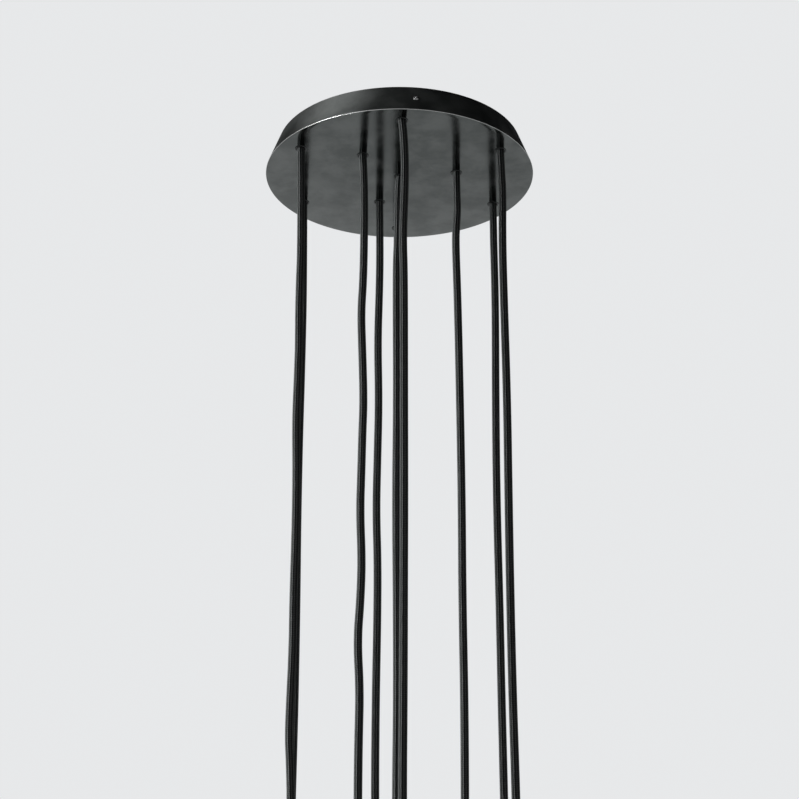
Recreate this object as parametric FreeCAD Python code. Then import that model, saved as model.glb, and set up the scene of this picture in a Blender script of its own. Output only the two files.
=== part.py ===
import FreeCAD, Part
import math
import os

# Cluster pendant: ten cords with bare-lamp heads hang from one round ceiling canopy.
# Millimetres. Z is up and the ceiling plane is Z = 0. The front of the fitting is -Y.
# The origin is the middle of the ceiling box's two screws.

# ---- canopy pan ----
canopy_d = 355.0            # over the polished lower edge
rim_inset = 16.0            # radial, from the lower edge in to the rim on the ceiling
canopy_h = 41.5
pan_wall = 1.5
rim_lip = 4.0               # flange turned inwards along the ceiling
edge_round = 0.5            # polished lower edge

# ---- cords and where they leave the canopy ----
cord_d = 10.0
outer_count = 6
outer_circle_inset = 28.5    # from the lower edge in to the outer cords
outer_first_angle = -88.8   # degrees from +X, counter-clockwise seen from above
inner_count = 3
inner_circle_r = 76.0
inner_first_angle = -9.0

# ---- bushing and lock nut at each exit ----
bushing_flange_d = 15.6
bushing_flange_h = 0.8
bushing_mouth_flare = 0.5
bushing_body_d = 12.8
bushing_body_h = 14.0
bushing_bore_gap = 0.4      # radial, round the swinging cord
lock_nut_flats = 17.0
lock_nut_h = 5.0
swing_gap = 0.6             # between the fixed tail and the swinging cord, inside the bore
tail_above_bushing = 2.0

# ---- clearances ----
fit_gap = 0.2               # radial, a piece held in a hole
seat_gap = 0.3              # radial, round pieces that sit in each other

# ---- mounting plate, and the arms welded under its edge ----
plate_t = 2.5
hub_r = 78.0
arm_count = 3
arm_w = 14.0
arm_t = 2.5
arm_overlap = 14.0          # how far each arm reaches in under the plate
arm_beside_cord = 15.06       # sideways, from a cord's exit to the middle of the arm by it
tab_bend_r = 4.0
tab_below_screw = 7.5
rim_clearance = 2.0         # between the tabs and the rim, as the pan is lifted over them
slot_spacing = 82.0
slot_length = 20.0
slot_w = 4.8
wire_hole_r = 12.5

# ---- side screws, button head with a hex socket ----
screw_d = 4.0
screw_length = 25.0
screw_head_d = 7.6
screw_head_h = 2.2
screw_socket_flats = 2.5
screw_socket_depth = 1.3
screw_height_share = 0.5    # middle of the side band
head_seat_gap = 0.05        # the flat head on the round wall
thread_gap = 0.15

# ---- small hex nuts: behind the tabs and on the earth studs ----
small_nut_flats = 7.0
small_nut_h = 3.2

# ---- terminal strips and leads inside ----
pole_count = 12
ear_count = 2               # one at each end, for the fixing screws
pole_pitch = 7.0
pole_gap = 1.0
strip_w = 17.0
strip_h = 15.0
strip_web_h = 6.0
strip_offset = 32.0         # from the middle of the hub to each strip
strip_screw_d = 3.0
strip_screw_head_d = 5.4
strip_screw_head_h = 1.8
lead_d = 5.0
lead_bend_r = 11.0
lead_corner_y = 60.0        # where the front and back leads line up with their poles
centre_lead_corner_y = 14.0
link_gap = 0.6              # the link meets the strips at a slant

# ---- earth studs ----
earth_stud_d = 4.0
earth_stud_h = 9.0
ring_terminal_d = 9.0
ring_terminal_t = 0.8
earth_lead_d = 3.0
earth_lead_bend_r = 8.0
plate_stud_xy = (-22.0, 10.0)
floor_stud_xy = (-26.0, -6.0)
earth_lead_x = -44.0

# ---- cord grip, socket cup, lampholder and lamp at the end of each cord ----
grip_flats = 19.0
grip_hex_h = 8.0
grip_nose_h = 6.0
grip_nose_end_d = 14.0
grip_recess_depth = 7.0
grip_spigot_d = 10.0
grip_spigot_h = 8.0
cup_d = 38.0
cup_h = 52.0
cup_wall = 1.5
cup_shoulder = 7.0          # conical, from the flat top to the side
holder_h = 43.0
holder_top_t = 9.0
holder_bore_d = 26.8        # takes the lamp's screw cap
lamp_cap_d = 26.2
lamp_cap_h = 26.0
lamp_contact_d = 10.0
lamp_contact_h = 2.5
lamp_glass_d = 32.0
lamp_glass_h = 74.0         # below the cup's mouth
lamp_shoulder_h = 4.0       # from the neck to the full width of the glass
lamp_dome_h = 10.0

# How each cord hangs, from its bushing down to its grip: sideways, forwards or back, and drop.
# It carries a weight, so its runs are long and nearly straight, with the slow waves of a cord
# that came off a coil.
cord_routes = {
    "01": [(0, 0, 0), (3, 0, -90), (1.4, 0.6, -190), (2.3, 0, -370), (1.6, -0.6, -600),
           (0.3, 0, -800), (0.3, 0, -905)],
    "02": [(0, 0, 0), (1.5, 0, -70), (0.3, -0.8, -160), (1.9, 0, -330), (0.8, -0.6, -590),
           (2.2, 0.4, -820), (2.2, 0.4, -935)],
    "03": [(0, 0, 0), (0, 0, -80), (0.7, 0.9, -190), (-2.4, 0, -400), (-1.6, -0.8, -640),
           (-0.2, 0, -850), (-0.2, 0, -965)],
    "04": [(0, 0, 0), (-0.2, 0, -110), (-0.8, 0.8, -240), (0.8, -0.7, -450), (-0.6, 0.5, -680),
           (0.7, 0, -880), (0.7, 0, -995)],
    "05": [(0, 0, 0), (1.5, 0, -90), (2.1, -0.8, -200), (-0.2, 0.7, -400), (1.8, -0.5, -640),
           (-0.4, 0.4, -880), (-0.4, 0.4, -1025)],
    "06": [(0, 0, 0), (3, 0.6, -120), (1.8, 0, -250), (3.3, -0.8, -470), (2.8, 0.5, -640),
           (1, 0, -765), (3.6, -0.5, -910), (3.6, -0.5, -1055)],
    "07": [(0, 0, 0), (-1.4, 0.6, -100), (0.4, 0, -210), (1.8, -0.8, -420), (1.2, 0.6, -640),
           (2.1, 0, -800), (0.2, -0.4, -950), (0.2, -0.4, -1090)],
    "08": [(0, 0, 0), (1, -0.6, -90), (-1, 0, -215), (-0.2, 0.8, -320), (-2.2, -0.6, -450),
           (-0.4, 0, -570), (-2.3, 0.5, -790), (-0.6, -0.4, -980), (-0.6, -0.4, -1130)],
    "09": [(0, 0, 0), (2.5, 0.5, -100), (-0.2, 0, -230), (2.9, -0.7, -345), (0.6, 0.6, -480),
           (2.2, 0, -560), (-1.1, -0.6, -650), (1, 0.3, -740), (0, 0.5, -880),
           (0.9, -0.3, -1030), (0.9, -0.3, -1170)],
    "10": [(0, 0, 0), (-2.2, 0, -85), (-3.9, 0.7, -190), (-3.2, -0.6, -330), (-4.3, 0.4, -470),
           (-2.9, -0.4, -690), (-3.9, 0, -800), (-3.9, 0, -900)],
}

# ---- worked out ----
canopy_r = canopy_d / 2
rim_r = canopy_r - rim_inset
outer_circle_r = canopy_r - outer_circle_inset
arm_first_angle = outer_first_angle + math.degrees(math.asin(arm_beside_cord / outer_circle_r))
underside_z = -canopy_h
floor_z = underside_z + pan_wall
wall_drop = FreeCAD.Vector(canopy_r - rim_r, 0, -canopy_h).normalize()   # down the side band
wall_normal = FreeCAD.Vector(-wall_drop.z, 0, wall_drop.x)               # outwards and up
up = FreeCAD.Vector(0, 0, 1)
cord_r = cord_d / 2
bushing_bore_r = cord_r + bushing_bore_gap
bushing_top_z = underside_z + bushing_body_h
tail_top_z = bushing_top_z + tail_above_bushing
strip_length = (pole_count + ear_count) * pole_pitch
lead_z = -plate_t - strip_h / 2

os.makedirs("parts", exist_ok=True)


def on_circle(r, angle):
    a = math.radians(angle)
    return r * math.cos(a), r * math.sin(a)


def exit_places():
    # Name to plan position, outer circle first, then the inner one, then the middle.
    places = {}
    for i in range(outer_count):
        places[f"{i + 1:02d}"] = on_circle(outer_circle_r, outer_first_angle + i * 360 / outer_count)
    for i in range(inner_count):
        name = f"{outer_count + i + 1:02d}"
        places[name] = on_circle(inner_circle_r, inner_first_angle + i * 360 / inner_count)
    places[f"{outer_count + inner_count + 1:02d}"] = (0.0, 0.0)
    return places


def turned(profile, x=0.0, y=0.0, z=0.0):
    # A solid of revolution about a vertical line. Its profile is a closed list of (radius, height),
    # and a three-number entry is an arc: its middle point, then the next entry is its end.
    edges = []
    last = FreeCAD.Vector(profile[0][0], 0, profile[0][1])
    through = None
    for entry in list(profile[1:]) + [profile[0]]:
        point = FreeCAD.Vector(entry[0], 0, entry[1])
        if len(entry) == 3:
            through = point
            continue
        if through is not None:
            edges.append(Part.Arc(last, through, point).toShape())
        elif (point - last).Length > 1e-9:
            edges.append(Part.LineSegment(last, point).toShape())
        through = None
        last = point
    solid = Part.Face(Part.Wire(edges)).revolve(FreeCAD.Vector(0, 0, 0), up, 360)
    solid.translate(FreeCAD.Vector(x, y, z))
    return solid


def dome(r, h, rim, crown):
    # The middle point of a turned profile's round end, from its rim at radius r and height rim
    # to its crown on the axis. Its centre is on the axis.
    ball_r = (r * r + h * h) / (2 * h)
    half_angle = math.asin(r / ball_r) / 2
    drop = ball_r * (1 - math.cos(half_angle))
    return ball_r * math.sin(half_angle), crown + math.copysign(drop, rim - crown), "arc"


def hexagon(flats, z0, z1, x=0.0, y=0.0):
    corner_r = flats / math.sqrt(3)
    corners = [FreeCAD.Vector(*on_circle(corner_r, 60 * i), z0) for i in range(7)]
    prism = Part.Face(Part.makePolygon(corners)).extrude(up * (z1 - z0))
    prism.translate(FreeCAD.Vector(x, y, 0))
    return prism


def cylinder(r, z0, z1, x=0.0, y=0.0):
    return Part.makeCylinder(r, z1 - z0, FreeCAD.Vector(x, y, z0))


def rounded_path(points, bend_r=None):
    # Straight runs through the points with a tangent arc at each inner one. With no radius
    # given, the arc takes 0.45 of the shorter run on each side. Returns the wire and the radii.
    vectors = [FreeCAD.Vector(*p) for p in points]
    edges = []
    radii = []
    last = vectors[0]
    for before, corner, after in zip(vectors, vectors[1:], vectors[2:]):
        into = (corner - before).normalize()
        out = (after - corner).normalize()
        half_turn = into.getAngle(out) / 2
        reach = 0.45 * min((corner - before).Length, (after - corner).Length)
        if bend_r is not None:
            reach = bend_r * math.tan(half_turn)
        r = reach / math.tan(half_turn)
        to_centre = (out - into).normalize()
        middle = corner + to_centre * (r / math.cos(half_turn) - r)
        edges.append(Part.LineSegment(last, corner - into * reach).toShape())
        edges.append(Part.Arc(corner - into * reach, middle, corner + out * reach).toShape())
        last = corner + out * reach
        radii.append(r)
    edges.append(Part.LineSegment(last, vectors[-1]).toShape())
    return Part.Wire(edges), radii


def swept(path, section):
    shell = Part.BRepOffsetAPI.MakePipeShell(path)
    shell.add(section)
    shell.build()
    shell.makeSolid()
    return shell.shape()


def tube(points, diameter, bend_r=None):
    path, radii = rounded_path(points, bend_r)
    start = FreeCAD.Vector(*points[0])
    along = FreeCAD.Vector(*points[1]) - start
    section = Part.Wire(Part.makeCircle(diameter / 2, start, along))
    return swept(path, section), path, radii


def turn_to(shape, angle):
    turned_copy = shape.copy()
    turned_copy.rotate(FreeCAD.Vector(0, 0, 0), up, angle)
    return turned_copy


def screw_seat():
    # The point of the side band, at azimuth 0, that the side screw's head sits on.
    return FreeCAD.Vector(rim_r, 0, 0) + wall_drop * (screw_height_share * canopy_h / -wall_drop.z)


def along_screw(shape):
    # From upright at the origin, head up, to that seat, square to the wall.
    placed = shape.copy()
    placed.Placement = FreeCAD.Placement(screw_seat(), FreeCAD.Rotation(up, wall_normal))
    return placed


def screw_angles():
    return [arm_first_angle + i * 360 / arm_count for i in range(arm_count)]


def save(name, shapes):
    solids = list(shapes)
    shape = solids[0] if len(solids) == 1 else Part.makeCompound(solids)
    if not shape.isValid():
        raise ValueError(f"{name} is not valid")
    shape.exportStep(f"parts/{name}.step")
    print(f"{name}: {len(solids)} solid(s), {shape.Volume / 1000:.2f} cm3")


def canopy_pan(places):
    # Spun pan, open towards the ceiling, with a lip turned in along it and a welded earth stud.
    inner_foot = FreeCAD.Vector(canopy_r, 0, underside_z) - wall_normal * pan_wall
    slant = wall_drop.x / wall_drop.z
    foot_r = inner_foot.x + (floor_z - inner_foot.z) * slant
    head_r = inner_foot.x + (-pan_wall - inner_foot.z) * slant
    pan = turned([
        (0, underside_z), (canopy_r, underside_z), (rim_r, 0), (rim_r - rim_lip, 0),
        (rim_r - rim_lip, -pan_wall), (head_r, -pan_wall), (foot_r, floor_z), (0, floor_z),
    ])
    lower_edge = [e for e in pan.Edges if is_ring(e, canopy_r, underside_z)]
    pan = pan.makeFillet(edge_round, lower_edge)
    hole_r = bushing_body_d / 2 + fit_gap
    tools = [cylinder(hole_r, underside_z - 1, floor_z + 1, x, y) for x, y in places.values()]
    screw_hole = along_screw(cylinder(screw_d / 2 + fit_gap, -2 * pan_wall, pan_wall))
    tools += [turn_to(screw_hole, a) for a in screw_angles()]
    stud = cylinder(earth_stud_d / 2, floor_z, floor_z + earth_stud_h, *floor_stud_xy)
    return pan.cut(tools).fuse(stud).removeSplitter()


def is_ring(edge, r, z):
    box = edge.BoundBox
    round_edge = isinstance(edge.Curve, Part.Circle)
    return round_edge and abs(edge.Curve.Radius - r) < 1e-6 and abs(box.ZMin - z) < 1e-6


def bushing(x, y):
    # Flanged sleeve, pushed up through the pan, with a flared mouth for the cord.
    flange_r = bushing_flange_d / 2
    bottom = -bushing_flange_h
    return turned([
        (bushing_bore_r, bottom + bushing_mouth_flare),
        (bushing_bore_r + bushing_mouth_flare, bottom), (flange_r, bottom),
        (flange_r, 0), (bushing_body_d / 2, 0), (bushing_body_d / 2, bushing_body_h),
        (bushing_bore_r, bushing_body_h),
    ], x, y, underside_z)


def lock_nut(x, y):
    nut = hexagon(lock_nut_flats, floor_z, floor_z + lock_nut_h, x, y)
    return nut.cut(cylinder(bushing_body_d / 2 + fit_gap, floor_z - 1, floor_z + lock_nut_h + 1, x, y))


def mounting_plate(strips):
    # Flat disc with the wire hole, the ceiling slots and a welded earth stud.
    stud = cylinder(earth_stud_d / 2, -plate_t - earth_stud_h, -plate_t, *plate_stud_xy)
    tools = [cylinder(wire_hole_r, -plate_t - 1, 1)]
    for side in (-1, 1):
        tools.append(slot(side * slot_spacing / 2))
    for strip_x, strip_y in strips.values():
        for x in strip_screw_places(strip_x):
            tools.append(cylinder(strip_screw_d / 2 + thread_gap, -plate_t - 1, 1, x, strip_y))
    return cylinder(hub_r, -plate_t, 0).cut(tools).fuse(stud).removeSplitter()


def mounting_arm(foot):
    # Flat strip out from under the plate. Its end is bent down parallel to the side band and
    # takes the side screw.
    half_t = arm_t / 2
    middle_z = -plate_t - half_t
    tab_end = foot + wall_drop * tab_below_screw
    bend = tab_end - wall_drop * ((middle_z - tab_end.z) / -wall_drop.z)
    start = FreeCAD.Vector(hub_r - arm_overlap, 0, middle_z)
    path = rounded_path([start, bend, tab_end], tab_bend_r + half_t)[0]
    corners = [(-arm_w / 2, -half_t), (arm_w / 2, -half_t), (arm_w / 2, half_t), (-arm_w / 2, half_t)]
    loop = [start + FreeCAD.Vector(0, w, t) for w, t in corners]
    arm = swept(path, Part.makePolygon(loop + loop[:1]))
    return arm.cut(along_screw(cylinder(screw_d / 2 + thread_gap, -screw_length, 0)))


def tab_foot():
    # Where the screw's line meets the tab's middle plane. The tab's lowest point, which is
    # tab_below_screw further down, stays inside the rim.
    seat = screw_seat()
    end_r = rim_r - rim_lip - rim_clearance - arm_t / 2
    step = wall_normal * -1
    reach = (seat.x + wall_drop.x * tab_below_screw - end_r) / -step.x
    return seat + step * reach


def slot(x):
    half = (slot_length - slot_w) / 2
    box = Part.makeBox(2 * half, slot_w, plate_t + 2, FreeCAD.Vector(x - half, -slot_w / 2, -plate_t - 1))
    ends = [cylinder(slot_w / 2, -plate_t - 1, 1, x + side * half) for side in (-1, 1)]
    return box.fuse(ends)


def side_screw():
    # Domed head with a hex socket. Upright at the origin, its seat at Z = 0.
    head_r = screw_head_d / 2
    screw = turned([
        (0, -screw_length), (screw_d / 2, -screw_length), (screw_d / 2, head_seat_gap),
        (head_r, head_seat_gap),
        dome(head_r, screw_head_h - head_seat_gap, head_seat_gap, screw_head_h),
        (0, screw_head_h),
    ])
    socket = hexagon(screw_socket_flats, screw_head_h - screw_socket_depth, screw_head_h + 1)
    return screw.cut(socket)


def small_nut(z0, z1, x=0.0, y=0.0):
    nut = hexagon(small_nut_flats, z0, z1, x, y)
    return nut.cut(cylinder(screw_d / 2 + thread_gap, z0 - 1, z1 + 1, x, y))


def tab_nut(foot):
    # On the inside of the tab, on the screw's line.
    depth = (screw_seat() - foot).Length + arm_t / 2
    return along_screw(small_nut(-depth - small_nut_h, -depth))


def strip_places(places):
    # Each strip lies along X, placed so that one pair of poles lines up with an inner cord.
    return {
        "front": (places["09"][0] - pair_offset(0), -strip_offset),
        "back": (places["08"][0] - pair_offset(1), strip_offset),
    }


def pair_offset(pair):
    # From a strip's middle to the middle of that pair of poles, counted from 0 at the left.
    return (2 * pair + 1 - pole_count / 2) * pole_pitch


def strip_screw_places(strip_x):
    # The fixing screws sit in the ears, past the last pole at each end.
    reach = (strip_length - pole_pitch) / 2
    return strip_x - reach, strip_x + reach


def terminal_strip(strip_x, strip_y):
    # Insulating block: a low web with an upright barrel for each pole, and an ear at each end
    # with its fixing screw.
    top = -plate_t
    left = strip_x - strip_length / 2
    front = strip_y - strip_w / 2
    web = Part.makeBox(strip_length, strip_w, strip_web_h, FreeCAD.Vector(left, front, top - strip_web_h))
    added = [strip_screw(x, strip_y) for x in strip_screw_places(strip_x)]
    for i in range(pole_count):
        barrel_left = left + (i + ear_count / 2) * pole_pitch + pole_gap / 2
        corner = FreeCAD.Vector(barrel_left, front, top - strip_h)
        added.append(Part.makeBox(pole_pitch - pole_gap, strip_w, strip_h, corner))
    return web.fuse(added).removeSplitter()


def strip_screw(x, y):
    head_top = -plate_t - strip_web_h
    shank = cylinder(strip_screw_d / 2, head_top, -plate_t / 4, x, y)
    head = cylinder(strip_screw_head_d / 2, head_top - strip_screw_head_h, head_top, x, y)
    return head.fuse(shank)


def lead_route(name, places, strips):
    # Up out of the tail, over at the strip's height, and square into the side of its poles.
    x, y = places[name]
    poles = {
        "01": ("front", 3, -1), "02": ("front", 5, -1), "06": ("front", 1, -1),
        "07": ("front", 5, 1), "09": ("front", 0, -1), "03": ("back", 5, 1),
        "04": ("back", 3, 1), "05": ("back", 0, 1), "08": ("back", 1, 1), "10": ("back", 3, -1),
    }
    strip, pair, side = poles[name]
    strip_x, strip_y = strips[strip]
    pole_x = strip_x + pair_offset(pair)
    face_y = strip_y + side * strip_w / 2
    corner_y = {"01": -lead_corner_y, "04": lead_corner_y, "10": centre_lead_corner_y}.get(name, y)
    points = [(x, y, tail_top_z), (x, y, lead_z)]
    if abs(pole_x - x) > 1e-6:
        points.append((pole_x, corner_y, lead_z))
    points.append((pole_x, face_y, lead_z))
    return points


def pendant_lead(name, places, strips):
    # The cord's tail in its bushing, stripped to its lead, which runs to the terminals.
    tail = cylinder(cord_r, underside_z, tail_top_z, *places[name])
    return tail.fuse(tube(lead_route(name, places, strips), lead_d, lead_bend_r)[0])


def link_route(strips):
    # The link that feeds the back strip from the front one, on the poles beside the wire hole.
    ends = []
    for strip, side in (("front", 1), ("back", -1)):
        strip_x, strip_y = strips[strip]
        ends.append((strip_x + pair_offset(4), strip_y + side * (strip_w / 2 + link_gap), lead_z))
    return ends


def earth_pieces():
    # On each stud, under the plate and on the pan's floor: a ring terminal, then a nut.
    nuts = []
    rings = []
    for xy, face, outwards in ((plate_stud_xy, -plate_t, -1), (floor_stud_xy, floor_z, 1)):
        seat = face + outwards * ring_terminal_t
        low, high = sorted((face, seat))
        ring = cylinder(ring_terminal_d / 2, low, high, *xy)
        rings.append(ring.cut(cylinder(earth_stud_d / 2 + fit_gap, low - 1, high + 1, *xy)))
        nuts.append(small_nut(*sorted((seat, seat + outwards * small_nut_h)), *xy))
    return nuts, rings


def earth_lead():
    # From the plate's ring out to the side, down, and back to the ring on the floor.
    reach = ring_terminal_d / 2 + seat_gap
    top_z = -plate_t - earth_lead_d / 2 - seat_gap
    low_z = floor_z + earth_lead_d / 2 + seat_gap
    x0, y0 = plate_stud_xy
    x1, y1 = floor_stud_xy
    points = [
        (x0 - reach, y0, top_z), (earth_lead_x, y0, top_z),
        (earth_lead_x, y1, low_z), (x1 - reach, y1, low_z),
    ]
    return tube(points, earth_lead_d, earth_lead_bend_r)[0]


def cord_grip(x, y, z):
    # Domed gland nut. The cord ends in its recess, and its spigot holds the cup to the lampholder.
    top = grip_recess_depth
    hex_top = top - grip_nose_h
    hex_bottom = hex_top - grip_hex_h
    nose = turned([
        (0, hex_top), (grip_flats / 2, hex_top), (grip_nose_end_d / 2, top), (0, top),
    ])
    body = hexagon(grip_flats, hex_bottom, hex_top)
    spigot = cylinder(grip_spigot_d / 2, hex_bottom - grip_spigot_h, hex_bottom)
    grip = nose.fuse([body, spigot]).removeSplitter()
    grip = grip.cut(cylinder(cord_r + seat_gap, 0, top + 1))
    grip.translate(FreeCAD.Vector(x, y, z))
    return grip, z + hex_bottom


def socket_cup(x, y, top):
    # Drawn metal cup, open at the bottom, with a sloping shoulder and a hole for the spigot.
    r = cup_d / 2
    hole_r = grip_spigot_d / 2 + fit_gap
    inner_corner = cup_wall * math.tan(math.radians(22.5))   # keeps the wall even round the shoulder
    return turned([
        (hole_r, 0), (hole_r, -cup_wall), (r - cup_shoulder - inner_corner, -cup_wall),
        (r - cup_wall, -cup_shoulder - inner_corner), (r - cup_wall, -cup_h), (r, -cup_h),
        (r, -cup_shoulder), (r - cup_shoulder, 0),
    ], x, y, top)


def lampholder(x, y, top):
    # Insulating body on the spigot, with the bore that takes the lamp's screw cap.
    r = cup_d / 2 - cup_wall - seat_gap
    chamfer = cup_shoulder
    hole_r = grip_spigot_d / 2 + fit_gap
    return turned([
        (hole_r, 0), (r - chamfer, 0), (r, -chamfer), (r, -holder_h),
        (holder_bore_d / 2, -holder_h), (holder_bore_d / 2, -holder_top_t), (hole_r, -holder_top_t),
    ], x, y, top - cup_wall)


def lamp(x, y, top):
    # Screw cap with its contact, and a tubular glass with a domed end.
    contact_z = -cup_wall - holder_top_t
    cap_top = contact_z - lamp_contact_h
    neck_z = -cup_wall - holder_h - seat_gap
    shoulder_z = neck_z - lamp_shoulder_h
    end_z = -cup_h - lamp_glass_h
    cap_r = lamp_cap_d / 2
    glass_r = lamp_glass_d / 2
    return turned([
        (0, contact_z), (lamp_contact_d / 2, contact_z), (lamp_contact_d / 2, cap_top),
        (cap_r, cap_top - lamp_contact_h), (cap_r, neck_z), (glass_r, shoulder_z),
        (glass_r, end_z + lamp_dome_h), dome(glass_r, lamp_dome_h, end_z + lamp_dome_h, end_z),
        (0, end_z),
    ], x, y, top)


def main():
    places = exit_places()
    strips = strip_places(places)

    save("canopy_pan", [canopy_pan(places)])
    save("cord_bushings", [bushing(x, y) for x, y in places.values()])
    save("lock_nuts", [lock_nut(x, y) for x, y in places.values()])

    foot = tab_foot()
    earth_nuts, rings = earth_pieces()
    save("mounting_plate", [mounting_plate(strips)])
    save("mounting_arms", [turn_to(mounting_arm(foot), a) for a in screw_angles()])
    screw = along_screw(side_screw())
    save("side_screws", [turn_to(screw, a) for a in screw_angles()])
    save("small_nuts", [turn_to(tab_nut(foot), a) for a in screw_angles()] + earth_nuts)

    save("terminal_strips", [terminal_strip(x, y) for x, y in strips.values()])
    leads = [pendant_lead(name, places, strips) for name in sorted(places)]
    save("inner_leads", leads + [tube(link_route(strips), lead_d)[0]])
    save("earth_lead", [earth_lead()] + rings)

    for name, (x, y) in places.items():
        hang = [(x + dx, y + dy, underside_z + dz) for dx, dy, dz in cord_routes[name]]
        hang[0] = (x, y, underside_z - swing_gap)
        cord, path, radii = tube(hang, cord_d)
        save(f"cord_{name}", [cord])
        section = math.pi * cord_r ** 2
        print(f"  length {path.Length:.1f}, smallest radius {min(radii):.0f},",
              f"volume over section times length {cord.Volume / section / path.Length:.5f}")
        end_x, end_y, end_z = hang[-1]
        grip, cup_top = cord_grip(end_x, end_y, end_z)
        save(f"cord_grip_{name}", [grip])
        save(f"socket_cup_{name}", [socket_cup(end_x, end_y, cup_top)])
        save(f"lampholder_{name}", [lampholder(end_x, end_y, cup_top)])
        save(f"lamp_{name}", [lamp(end_x, end_y, cup_top)])


main()
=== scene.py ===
import bpy
import bmesh
import math
from mathutils import Matrix, Vector


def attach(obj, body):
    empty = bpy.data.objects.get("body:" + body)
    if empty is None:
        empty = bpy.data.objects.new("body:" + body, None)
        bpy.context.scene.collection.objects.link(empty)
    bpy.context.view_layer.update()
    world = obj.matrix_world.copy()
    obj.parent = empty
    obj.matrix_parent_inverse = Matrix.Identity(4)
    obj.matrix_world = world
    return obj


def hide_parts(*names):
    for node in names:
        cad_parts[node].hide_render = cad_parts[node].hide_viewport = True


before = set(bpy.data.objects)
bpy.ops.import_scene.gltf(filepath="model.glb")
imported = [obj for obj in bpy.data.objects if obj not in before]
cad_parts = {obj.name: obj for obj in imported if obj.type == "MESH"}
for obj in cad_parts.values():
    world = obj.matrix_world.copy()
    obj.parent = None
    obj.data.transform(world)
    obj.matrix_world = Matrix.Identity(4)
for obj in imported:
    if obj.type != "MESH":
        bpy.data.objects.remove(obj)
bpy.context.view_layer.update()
mm = 0.001


def polar(radius, degrees):
    a = math.radians(degrees)
    return radius * math.cos(a), radius * math.sin(a)


# the cords leave the canopy on two rings and in the middle, in mm and degrees
exitRings = [
    {"count": 6, "radius": 149.0, "first": -88.8},
    {"count": 3, "radius": 76.0, "first": -9.0},
    {"count": 1, "radius": 0.0, "first": 0.0},
]
exits = {}
for ring in exitRings:
    for k in range(ring["count"]):
        exits[f"{len(exits) + 1:02d}"] = polar(ring["radius"], ring["first"] + 360 / ring["count"] * k)


# small helpers for nodes
def addNode(tree, kind, **settings):
    node = tree.nodes.new(kind)
    for key, value in settings.items():
        if key in node.inputs:
            node.inputs[key].default_value = value
        else:
            setattr(node, key, value)
    return node


def math2(tree, operation, a, b=None, clamp=False):
    node = tree.nodes.new("ShaderNodeMath")
    node.operation = operation
    node.use_clamp = clamp
    for socket, value in zip(node.inputs, (a, b)):
        if isinstance(value, bpy.types.NodeSocket):
            tree.links.new(value, socket)
        elif value is not None:
            socket.default_value = value
    return node.outputs[0]


def blendColour(tree, mask, colourA, colourB):
    node = tree.nodes.new("ShaderNodeMix")
    node.data_type = "RGBA"
    tree.links.new(mask, node.inputs[0])
    for socket, value in ((node.inputs[6], colourA), (node.inputs[7], colourB)):
        if isinstance(value, bpy.types.NodeSocket):
            tree.links.new(value, socket)
        else:
            socket.default_value = (*value, 1)
    return node.outputs[2]


def remap(tree, value, low, high):
    node = tree.nodes.new("ShaderNodeMapRange")
    tree.links.new(value, node.inputs[0])
    node.inputs[3].default_value = low
    node.inputs[4].default_value = high
    return node.outputs[0]


def newMaterial(name, **constant):
    material = bpy.data.materials.new(name)
    material.use_nodes = True
    tree = material.node_tree
    shader = tree.nodes["Principled BSDF"]
    for key, value in constant.items():
        shader.inputs[key].default_value = value
    return material, tree, shader


def addBump(tree, shader, height, strength, distance):
    bump = tree.nodes.new("ShaderNodeBump")
    bump.inputs["Strength"].default_value = strength
    bump.inputs["Distance"].default_value = distance
    tree.links.new(height, bump.inputs["Height"])
    tree.links.new(bump.outputs[0], shader.inputs["Normal"])


def newGroup(name, inputs, outputs):
    group = bpy.data.node_groups.new(name, "ShaderNodeTree")
    for label, value in inputs:
        socket = group.interface.new_socket(label, in_out="INPUT", socket_type="NodeSocketFloat")
        socket.default_value = value
    for label in outputs:
        group.interface.new_socket(label, in_out="OUTPUT", socket_type="NodeSocketFloat")
    return group, group.nodes.new("NodeGroupInput"), group.nodes.new("NodeGroupOutput")


def placeGroup(tree, group, **values):
    node = tree.nodes.new("ShaderNodeGroup")
    node.node_tree = group
    for key, value in values.items():
        node.inputs[key].default_value = value
    return node


# soft patches, as on plated metal that was handled and waxed
cloudGroup, cloudIn, cloudOut = newGroup(
    "plated clouding", [("Size", 0.05), ("Contrast", 1.0)], ["Mask"])
cloudCoord = cloudGroup.nodes.new("ShaderNodeTexCoord")
cloudScale = math2(cloudGroup, "DIVIDE", 1.0, cloudIn.outputs["Size"])
broad = addNode(cloudGroup, "ShaderNodeTexNoise", Detail=5.0, Roughness=0.62, Distortion=0.12)
cloudGroup.links.new(cloudCoord.outputs["Object"], broad.inputs["Vector"])
cloudGroup.links.new(cloudScale, broad.inputs["Scale"])
centred = math2(cloudGroup, "SUBTRACT", broad.outputs["Fac"], 0.5)
spread = math2(cloudGroup, "MULTIPLY", centred, cloudIn.outputs["Contrast"])
cloudMask = math2(cloudGroup, "ADD", spread, 0.5, clamp=True)
cloudGroup.links.new(cloudMask, cloudOut.inputs["Mask"])

# fine grain, for the bump and the gloss of every metal and moulding
grainGroup, grainIn, grainOut = newGroup("fine grain", [("Size", 0.001)], ["Height"])
grainCoord = grainGroup.nodes.new("ShaderNodeTexCoord")
grainScale = math2(grainGroup, "DIVIDE", 1.0, grainIn.outputs["Size"])
grainNoise = addNode(grainGroup, "ShaderNodeTexNoise", Detail=3.0, Roughness=0.6)
grainGroup.links.new(grainCoord.outputs["Object"], grainNoise.inputs["Vector"])
grainGroup.links.new(grainScale, grainNoise.inputs["Scale"])
grainGroup.links.new(grainNoise.outputs["Fac"], grainOut.inputs["Height"])


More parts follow.
